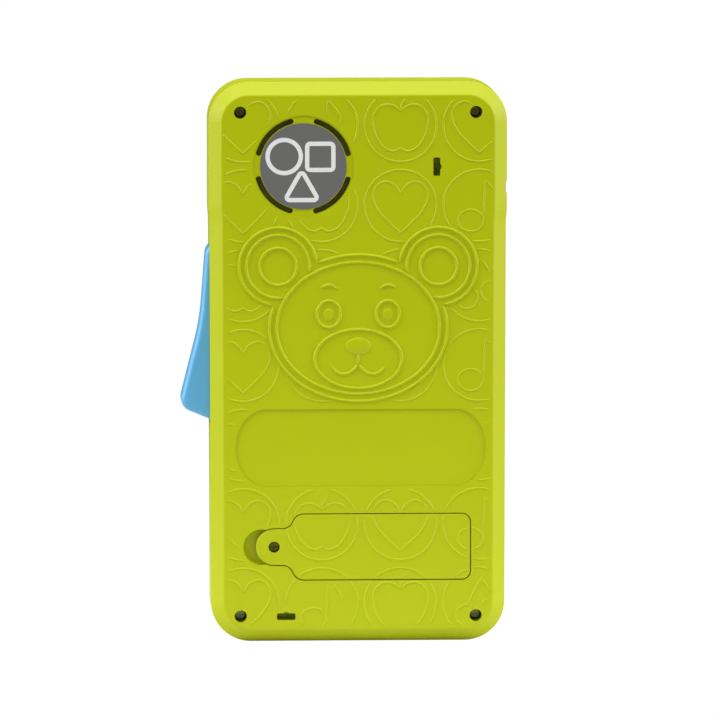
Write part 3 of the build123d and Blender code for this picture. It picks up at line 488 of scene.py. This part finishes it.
def add_dome(mesh, x, z, radius_x, radius_z, height):
    """A low solid dome on the back face, such as an eye or a nose."""
    levels = 6
    around = 40
    previous = ring_of_points(mesh, x, BACK_Y + RIDGE_ROOT, z, radius_x, radius_z, around)
    mesh.faces.new(previous)
    for i in range(levels):
        angle = math.pi / 2 * i / levels
        scale, up = math.cos(angle), height * math.sin(angle)
        ring = ring_of_points(mesh, x, BACK_Y - up, z, radius_x * scale, radius_z * scale, around)
        join_rings(mesh, previous, ring)
        previous = ring
    crown = mesh.verts.new((x, BACK_Y - height, z))
    for i in range(around):
        mesh.faces.new((previous[i], previous[(i + 1) % around], crown))


def bear_features():
    """The bear's nose and pupils."""
    mesh = bmesh.new()
    add_dome(mesh, *BEAR_NOSE)
    for side in (-1, 1):
        add_dome(mesh, side * BEAR_EYE_X, *BEAR_PUPIL)
    finish_relief("bear_features", mesh, "case")


# ---------------------------------------------------------------- pattern on the back

PATTERN_XS = [-41.0 * MM + 28.0 * MM * column for column in range(4)]
PATTERN_TOP_Z = 184.5 * MM
PATTERN_PITCH = 28.45 * MM
PATTERN_RADIUS = 12.8 * MM
PATTERN_ICON_SHARE = 0.84
PATTERN_ROWS = [
    "heart note apple heart",
    "heart apple heart note",
    "apple heart note cherries",
    "heart note apple note",
    "apple heart note heart",
    "heart apple heart note",
    "heart note apple cherries",
]

# Half outlines, from the notch at the top to the point or dent at the bottom
HEART_TOP = [(0, 0.4), (0.2, 0.68), (0.52, 0.8), (0.83, 0.6)]
HEART_SIDE = [(0.9, 0.22), (0.7, -0.2), (0.35, -0.58), (0, -0.9)]
APPLE_TOP = [(0, 0.5), (0.28, 0.68), (0.64, 0.66), (0.9, 0.32)]
APPLE_SIDE = [(0.86, -0.2), (0.6, -0.66), (0.26, -0.84), (0, -0.74)]

# Places of the details that the pattern keeps clear of
LABEL_MARGIN = 1.0 * MM
LABEL_HALF_WIDTH = 44.65 * MM
LABEL_HALF_HEIGHT = 13.85 * MM
LABEL_END = 10.8 * MM
LABEL_X = 0.9 * MM
LABEL_Z = 69.7 * MM
FACE_HALF_LOWER = 47.0 * MM
FACE_HALF_HEAD = 48.0 * MM
FACE_MARGIN = 5.6 * MM
FACE_CORNER = 9.0 * MM
SHOULDER_Z = 145.0 * MM
WELL_PLACES = [(x * MM, z * MM) for x in (-41.9, 41.9) for z in (9.4, 189.3)]
WELL_CLEARANCE = 3.2 * MM
TIE_PLACES = [(27.9 * MM, 169.9 * MM), (-25.7 * MM, 9.2 * MM)]
TIE_CLEARANCE = 4.6 * MM
BADGE_CLEARANCE = 18.9 * MM
SCOOP_X = TAB_X - 4.6 * MM
SCOOP_EDGE_X = TAB_X - 4.0 * MM
SCOOP_CLEARANCE = 7.2 * MM
TAB_SCREW_CLEARANCE = 3.0 * MM

# The battery door's outline: a round tab, a neck, and a main part with a straight right edge
TAB_HALF = 6.45 * MM
NECK_X = TAB_X + 3.0 * MM
MAIN_X = TAB_X + 10.6 * MM
MAIN_HALF = (DOOR_HIGH[2] - DOOR_LOW[2]) / 2
DOOR_RIGHT = DOOR_LOW[0] + 76.35 * MM
DOOR_LINE_GAP = 0.5 * MM


def near_any(x, z, places, distance):
    """True closer than a distance to any of the places."""
    return any(math.hypot(x - place_x, z - place_z) < distance for place_x, place_z in places)


def in_face_outline(x, z):
    """True inside the flat part of the back, which has rounded corners."""
    half = FACE_HALF_HEAD if z > SHOULDER_Z else FACE_HALF_LOWER
    if abs(x) > half or z < FACE_MARGIN or z > TOP_Z - FACE_MARGIN:
        return False
    past_side = abs(x) - (half - FACE_CORNER)
    past_end = max(FACE_MARGIN + FACE_CORNER - z, z - (TOP_Z - FACE_MARGIN - FACE_CORNER))
    in_corner = past_side > 0 and past_end > 0
    return not (in_corner and math.hypot(past_side, past_end) > FACE_CORNER)


def in_label_panel(x, z):
    """True on the recessed label panel, whose ends are rounded, or just beside it."""
    end = max(0.0, abs(x - LABEL_X) - (LABEL_HALF_WIDTH - LABEL_END))
    across = end / (LABEL_END + LABEL_MARGIN)
    up = (z - LABEL_Z) / (LABEL_HALF_HEIGHT + LABEL_MARGIN)
    return math.hypot(across, up) < 1


def on_plain_face(point):
    """True where the back face is flat and free of the badge, label, wells, slots and bear."""
    x, z = point.x, point.y
    if not in_face_outline(x, z) or in_label_panel(x, z):
        return False
    if near_any(x, z, [(BADGE_X, BADGE_Z)], BADGE_CLEARANCE):
        return False
    if near_any(x, z, WELL_PLACES, WELL_CLEARANCE) or near_any(x, z, TIE_PLACES, TIE_CLEARANCE):
        return False
    if x < SCOOP_EDGE_X and near_any(x, z, [(SCOOP_X, DOOR_Z)], SCOOP_CLEARANCE):
        return False
    bear = [grown(shape, BEAR_CLEARANCE) for shape in [BEAR_HEAD] + BEAR_EARS]
    return not any(inside(point, shape) for shape in bear)


def door_depth(point):
    """Distance inside the battery door's edge, negative outside it."""
    x, z = point.x, point.y
    if x < TAB_X:
        return TAB_HALF - math.hypot(x - TAB_X, z - DOOR_Z)
    share = min(1.0, max(0.0, (x - NECK_X) / (MAIN_X - NECK_X)))
    half = TAB_HALF + (MAIN_HALF - TAB_HALF) * (3 - 2 * share) * share * share
    return min(half - abs(z - DOOR_Z), DOOR_RIGHT - x)


def on_case_pattern(point):
    """True where the case carries the pattern."""
    return on_plain_face(point) and door_depth(point) < -DOOR_LINE_GAP


def on_door_pattern(point):
    """True where the battery door carries the pattern."""
    from_screw = math.hypot(point.x - TAB_X, point.y - DOOR_Z)
    return door_depth(point) > DOOR_LINE_GAP and from_screw > TAB_SCREW_CLEARANCE


def mirrored_shape(half_points, x, z, size):
    """A closed outline from its right half, sharp at the notch and the point."""
    right = smooth_path(half_points)
    left = [Vector((-point.x, point.y)) for point in reversed(right[1:-1])]
    return [Vector((x, z)) + point * size for point in right + left]


def open_line(x, z, size, *points):
    """A smooth open line through points given in units of the shape's size."""
    return smooth_path([(x + px * size, z + pz * size) for px, pz in points])


def heart_lines(x, z, size):
    """Outlines of a heart, as for the next three: a list of point lists round (x, z)."""
    return [mirrored_shape(HEART_TOP + HEART_SIDE, x, z, size)]


def apple_lines(x, z, size):
    stem = open_line(x, z, size, (0.0, 0.52), (0.06, 0.75), (0.2, 0.95))
    return [mirrored_shape(APPLE_TOP + APPLE_SIDE, x, z, size), stem]


def note_lines(x, z, size):
    head = ellipse(x - 0.28 * size, z - 0.5 * size, 0.42 * size, 0.36 * size)
    stem = open_line(x, z, size, (0.14, -0.45), (0.17, 0.2), (0.2, 0.85))
    flag = open_line(x, z, size, (0.2, 0.85), (0.42, 0.6), (0.62, 0.3), (0.6, 0.05))
    return [head, stem, flag]


def cherry_lines(x, z, size):
    left = ellipse(x - 0.4 * size, z - 0.42 * size, 0.36 * size, 0.36 * size)
    right = ellipse(x + 0.42 * size, z - 0.2 * size, 0.36 * size, 0.36 * size)
    stems = [
        open_line(x, z, size, (0.1, 0.85), (-0.15, 0.4), (-0.36, -0.04)),
        open_line(x, z, size, (0.1, 0.85), (0.3, 0.5), (0.42, 0.18)),
    ]
    return [left, right] + stems


ICONS = {"heart": heart_lines, "apple": apple_lines, "note": note_lines, "cherries": cherry_lines}


def pattern_lines():
    """Rings with a heart, an apple, a note or a pair of cherries in each."""
    lines = []
    for row, names in enumerate(PATTERN_ROWS):
        z = PATTERN_TOP_Z - PATTERN_PITCH * row
        for x, name in zip(PATTERN_XS, names.split()):
            lines.append(ellipse(x, z, PATTERN_RADIUS, PATTERN_RADIUS))
            lines += ICONS[name](x, z, PATTERN_RADIUS * PATTERN_ICON_SHARE)
    return lines


def back_pattern():
    """The pattern runs over the case and the door, as one raised mesh on each."""
    lines = pattern_lines()
    for body, name, keep in (
        ("case", "pattern_lines", on_case_pattern),
        ("battery_door", "door_pattern_lines", on_door_pattern),
    ):
        mesh = bmesh.new()
        for line in lines:
            for points, closed in open_runs(line, keep):
                is_ring = closed and (points[0] - points[-1]).length < 2 * OUTLINE_STEP
                add_ridge(mesh, points, is_ring, RIDGE_WIDTH, RIDGE_HEIGHT)
        finish_relief(name, mesh, body)


# ---------------------------------------------------------------- printed badge


PRINT_SUNK = 0.02 * MM
PRINT_HEIGHT = 0.03 * MM
PRINT_WIDTH = 1.55 * MM
CORNER_STEPS = 10


def printed_line(name, points):
    """A closed printed outline, a thin skin on the badge disc."""
    low_y = BADGE_LOW[1] + PRINT_SUNK
    high_y = BADGE_LOW[1] - PRINT_HEIGHT
    mesh = bmesh.new()
    rings = []
    for point, along in zip(points, ridge_directions(points, True)):
        side = Vector((-along.y, along.x)) * PRINT_WIDTH / 2
        inner, outer = point - side, point + side
        section = ((inner, low_y), (inner, high_y), (outer, high_y), (outer, low_y))
        rings.append([mesh.verts.new((place.x, y, place.y)) for place, y in section])
    for first, second in zip(rings, rings[1:] + rings[:1]):
        join_rings(mesh, first, second)
    add_piece(name, finished_mesh(name, mesh), PRINT_WHITE, "case")


def rounded_polygon(corners, radius):
    """A closed outline with a round arc at each corner."""
    count = len(corners)
    points = []
    for i in range(count):
        corner = Vector(corners[i])
        before = (Vector(corners[i - 1]) - corner).normalized()
        after = (Vector(corners[(i + 1) % count]) - corner).normalized()
        half_angle = before.angle(after) / 2
        centre = corner + (before + after).normalized() * (radius / math.sin(half_angle))
        start = corner + before * (radius / math.tan(half_angle)) - centre
        end = corner + after * (radius / math.tan(half_angle)) - centre
        sweep = math.atan2(start.x * end.y - start.y * end.x, start.dot(end))
        for j in range(CORNER_STEPS + 1):
            points.append(centre + Matrix.Rotation(sweep * j / CORNER_STEPS, 2) @ start)
    return points


def on_badge(x, z):
    """A place on the badge, from millimetres right of and above its middle."""
    return (BADGE_X + x * MM, BADGE_Z + z * MM)


def badge_print():
    """A circle, a square and a triangle, each a white outline."""
    printed_line("badge_circle", ellipse(*on_badge(-6.8, 3.5), 5.9 * MM, 5.9 * MM))
    square = [on_badge(1.35, -1.3), on_badge(10.65, -1.3), on_badge(10.65, 8.0), on_badge(1.35, 8.0)]
    printed_line("badge_square", rounded_polygon(square, 1.1 * MM))
    triangle = [on_badge(-6.6, -12.0), on_badge(5.4, -12.0), on_badge(-0.6, -1.45)]
    printed_line("badge_triangle", rounded_polygon(triangle, 1.0 * MM))


# ---------------------------------------------------------------- front


FIGURE_SIZE = 11.0 * MM
FIGURE_DEPTH = 0.1 * MM
FIGURE_BEVEL = 0.12 * MM


def number_mesh(name, text, size, depth):
    """A raised figure that faces +Y."""
    curve = bpy.data.curves.new(name, "FONT")
    curve.body = text
    curve.size = size
    curve.align_x = "CENTER"
    curve.align_y = "CENTER"
    curve.extrude = depth
    curve.bevel_depth = FIGURE_BEVEL
    curve.resolution_u = 6
    source = bpy.data.objects.new(name + "_curve", curve)
    mesh = bpy.data.meshes.new_from_object(source)
    bpy.data.objects.remove(source)
    bpy.data.curves.remove(curve)
    mesh.name = name
    facing_front = Matrix(((-1, 0, 0, 0), (0, 0, 1, 0), (0, 1, 0, 0), (0, 0, 0, 1)))
    mesh.transform(facing_front)
    return mesh


def key_numbers():
    """The figures 1 to 9, one on each app key."""
    for number in range(1, 10):
        node = f"app_key_{number}"
        low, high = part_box(node)
        mesh = number_mesh(f"number_{number}", str(number), FIGURE_SIZE, FIGURE_DEPTH)
        middle = ((low[0] + high[0]) / 2, high[1] - PRINT_SUNK, (low[2] + high[2]) / 2)
        mesh.transform(Matrix.Translation(middle))
        add_piece(f"number_{number}", mesh, NUMBER_WHITE, node)


def home_mark():
    """A small ring on the home key."""
    low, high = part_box("home_key")
    x, z = (low[0] + high[0]) / 2, (low[2] + high[2]) / 2
    ring_radius = 3.6 * MM
    half_width, half_height = 0.55 * MM, 0.275 * MM
    sunk_y = high[1] - 0.1 * MM
    section, around = 12, 64
    mesh = bmesh.new()
    rings = []
    for i in range(section):
        angle = 2 * math.pi * i / section
        reach = ring_radius + half_width * math.cos(angle)
        y = sunk_y + half_height * math.sin(angle)
        rings.append(ring_of_points(mesh, x, y, z, reach, reach, around))
    for first, second in zip(rings, rings[1:] + rings[:1]):
        join_rings(mesh, first, second)
    ring_mesh = finished_mesh("home_ring", mesh, smooth=True)
    add_piece("home_ring", ring_mesh, NUMBER_WHITE, "home_key")


def card_print(name, points, height, material):
    """A flat printed shape on the front of the screen card, with the given (x, z) outline."""
    low_y = CARD_HIGH[1] - PRINT_SUNK
    high_y = CARD_HIGH[1] + height
    mesh = bmesh.new()
    low = [mesh.verts.new((x, low_y, z)) for x, z in points]
    high = [mesh.verts.new((x, high_y, z)) for x, z in points]
    mesh.faces.new(low)
    mesh.faces.new(list(reversed(high)))
    join_rings(mesh, low, high)
    add_piece(name, finished_mesh(name, mesh), material, "case")


def screen_picture():
    """Plain shapes on the screen card: a hill, a sun and a balloon."""
    middle_x = (CARD_LOW[0] + CARD_HIGH[0]) / 2
    middle_z = (CARD_LOW[2] + CARD_HIGH[2]) / 2

    def on_card(x, z):
        return (middle_x + x * MM, middle_z + z * MM)

    ridge = smooth_path([on_card(30.5, -14), on_card(12, -4), on_card(-10, -12), on_card(-30.5, -7)])
    hill = [on_card(-30.5, -25), on_card(30.5, -25)] + ridge
    card_print("screen_hill", hill, 0.15 * MM, SCREEN_GREEN)
    card_print("screen_sun", ellipse(*on_card(16, 12), 6.5 * MM, 6.5 * MM), 0.2 * MM, SCREEN_YELLOW)
    card_print("screen_balloon", ellipse(*on_card(-13, 7), 7.5 * MM, 9 * MM), 0.2 * MM, SCREEN_RED)


# ---------------------------------------------------------------- studio

# How bright the air is as light, by direction, and how bright plain white looks to the camera
AIR_FRONT = 0.02
AIR_SIDES = 1.5
AIR_ABOVE = 0.2
AIR_RIGHT = 0.06
SEEN_WHITE = 1.02
# Floor colour near the object and far from it: a painted pool of light, seen only in the light the floor
# gives back
FLOOR_ALBEDO = 0.78
FLOOR_EDGE_ALBEDO = 0.1
FLOOR_REACH = 0.6
FLOOR_HALF = 4.0

# Distances in metres, angles in degrees
CAMERA_DISTANCE = 3.0
CAMERA_ELEVATION = 5.7
CAMERA_AZIMUTH = -2.5
CAMERA_AIM = (0.6 * MM, BACK_Y, 101.1 * MM)
VIEW_WIDTH = 256.0 * MM


def studio_surface():
    """A floor that looks plain white. Its colour darkens with distance from the object, a painted pool of
    light, so the light it gives back fades.
    """
    material, tree, shader = new_material("studio_white")
    coordinates = tree.nodes.new("ShaderNodeTexCoord")
    reach = tree.nodes.new("ShaderNodeVectorMath")
    reach.operation = "LENGTH"
    tree.links.new(coordinates.outputs["Object"], reach.inputs[0])
    fade = tree.nodes.new("ShaderNodeMapRange")
    fade.inputs["From Max"].default_value = FLOOR_REACH
    fade.inputs["To Min"].default_value = FLOOR_ALBEDO
    fade.inputs["To Max"].default_value = FLOOR_EDGE_ALBEDO
    tree.links.new(reach.outputs["Value"], fade.inputs["Value"])
    tree.links.new(fade.outputs["Result"], shader.inputs["Base Color"])
    shader.inputs["Roughness"].default_value = 0.9
    glow = tree.nodes.new("ShaderNodeEmission")
    glow.inputs["Strength"].default_value = SEEN_WHITE
    path = tree.nodes.new("ShaderNodeLightPath")
    mix = tree.nodes.new("ShaderNodeMixShader")
    tree.links.new(path.outputs["Is Camera Ray"], mix.inputs["Fac"])
    tree.links.new(shader.outputs["BSDF"], mix.inputs[1])
    tree.links.new(glow.outputs["Emission"], mix.inputs[2])
    tree.links.new(mix.outputs["Shader"], tree.nodes["Material Output"].inputs["Surface"])
    mesh = bpy.data.meshes.new("studio_sheet")
    corners = [(x * FLOOR_HALF, y * FLOOR_HALF, 0.0) for x, y in ((-1, -1), (1, -1), (1, 1), (-1, 1))]
    mesh.from_pydata(corners, [], [(0, 1, 2, 3)])
    sheet = bpy.data.objects.new("studio_sheet", mesh)
    bpy.context.scene.collection.objects.link(sheet)
    mesh.materials.append(material)


def area_light(name, place, width, height, radiance):
    """A soft box that faces the middle of the object. Its power follows from the brightness of its face."""
    light = bpy.data.lights.new(name, "AREA")
    light.shape = "RECTANGLE"
    light.size = width
    light.size_y = height
    light.energy = radiance * math.pi * width * height
    lamp = bpy.data.objects.new(name, light)
    lamp.location = place
    middle = Vector((0, 0, TOP_Z / 2))
    lamp.rotation_euler = (middle - Vector(place)).to_track_quat("-Z", "Y").to_euler()
    bpy.context.scene.collection.objects.link(lamp)


def math_node(tree, operation, first, second):
    """A sum on two values, each a number or another node's output."""
    node = tree.nodes.new("ShaderNodeMath")
    node.operation = operation
    for socket, value in zip(node.inputs, (first, second)):
        if isinstance(value, (int, float)):
            socket.default_value = value
        else:
            tree.links.new(value, socket)
    return node.outputs["Value"]


def studio_air():
    """White where it is seen. As light, it is bright all round and dim straight in front and behind."""
    world = bpy.data.worlds.new("studio_air")
    bpy.context.scene.world = world
    world.use_nodes = True
    tree = world.node_tree
    coordinates = tree.nodes.new("ShaderNodeTexCoord")
    split = tree.nodes.new("ShaderNodeSeparateXYZ")
    tree.links.new(coordinates.outputs["Generated"], split.inputs["Vector"])
    ahead = math_node(tree, "MULTIPLY", split.outputs["Y"], split.outputs["Y"])
    sideways = math_node(tree, "POWER", math_node(tree, "SUBTRACT", 1, ahead), 2)
    ring = math_node(tree, "MULTIPLY", sideways, AIR_SIDES)
    above = math_node(tree, "MULTIPLY", math_node(tree, "MAXIMUM", split.outputs["Z"], 0), AIR_ABOVE)
    right = math_node(tree, "MULTIPLY", split.outputs["X"], AIR_RIGHT)
    level = math_node(tree, "ADD", ring, AIR_FRONT)
    glow = math_node(tree, "ADD", level, math_node(tree, "ADD", above, right))
    path = tree.nodes.new("ShaderNodeLightPath")
    mix = tree.nodes.new("ShaderNodeMix")
    tree.links.new(path.outputs["Is Camera Ray"], mix.inputs["Factor"])
    tree.links.new(math_node(tree, "MAXIMUM", glow, 0), mix.inputs["A"])
    mix.inputs["B"].default_value = SEEN_WHITE
    tree.links.new(mix.outputs["Result"], tree.nodes["Background"].inputs["Strength"])
    tree.nodes["Background"].inputs["Color"].default_value = (1, 1, 1, 1)


def lighting():
    """A large box overhead, one on each side, a small bright one high on the left, and the air."""
    area_light("top_box", place=(0.0, -0.4, 1.2), width=1.2, height=0.6, radiance=0.6)
    area_light("left_box", place=(-1.2, -0.35, 0.35), width=0.6, height=1.0, radiance=2.4)
    area_light("right_box", place=(1.2, -0.3, 0.35), width=0.6, height=1.0, radiance=2.7)
    area_light("key_box", place=(-0.6, -0.42, 1.2), width=0.3, height=0.3, radiance=7.0)
    studio_air()


def camera():
    """A long lens almost square to the back, slightly above it and to its left."""
    elevation, azimuth = math.radians(CAMERA_ELEVATION), math.radians(CAMERA_AZIMUTH)
    level = math.cos(elevation)
    towards = Vector((math.sin(azimuth) * level, -math.cos(azimuth) * level, math.sin(elevation)))
    data = bpy.data.cameras.new("camera")
    data.sensor_width = 36
    data.lens = data.sensor_width * CAMERA_DISTANCE / VIEW_WIDTH
    data.clip_end = 50
    lens = bpy.data.objects.new("camera", data)
    lens.location = Vector(CAMERA_AIM) + towards * CAMERA_DISTANCE
    lens.rotation_euler = (-towards).to_track_quat("-Z", "Y").to_euler()
    bpy.context.scene.collection.objects.link(lens)
    bpy.context.scene.camera = lens


dress_nodes()
bear_face()
bear_features()
back_pattern()
badge_print()
key_numbers()
home_mark()
screen_picture()
studio_surface()
lighting()
camera()
bpy.context.scene.view_settings.view_transform = "Standard"
bpy.context.scene.view_settings.look = "None"
